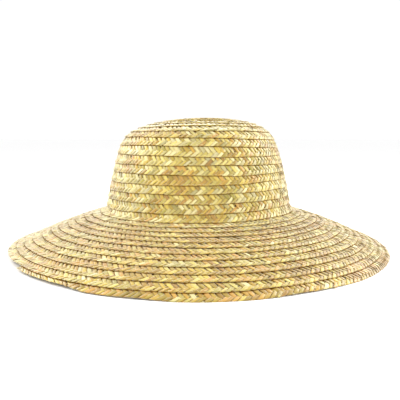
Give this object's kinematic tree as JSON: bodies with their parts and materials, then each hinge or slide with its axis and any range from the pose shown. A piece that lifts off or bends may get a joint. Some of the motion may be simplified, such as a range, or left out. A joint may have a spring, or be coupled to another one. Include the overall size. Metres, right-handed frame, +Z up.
{
  "type": "wide-brim straw hat",
  "caption": "Wide-brim sun hat with a round flat-topped crown and a sloping brim, sewn in one spiral from a flat straw plait.",
  "frame": {"origin": "on the table under the middle of the crown, which is the centre of the rim", "axes": "+Z up through the crown, -Y towards the front, +X to the right in the picture"},
  "size_m": [0.3707, 0.3743, 0.1261],
  "materials": {
    "straw_plait": "natural wheat straw, flat plait, soft sheen"
  },
  "bodies": {
    "root": {"crown_tip": "straw_plait", "crown_side": "straw_plait", "brim": "straw_plait"}
  },
  "joints": []
}
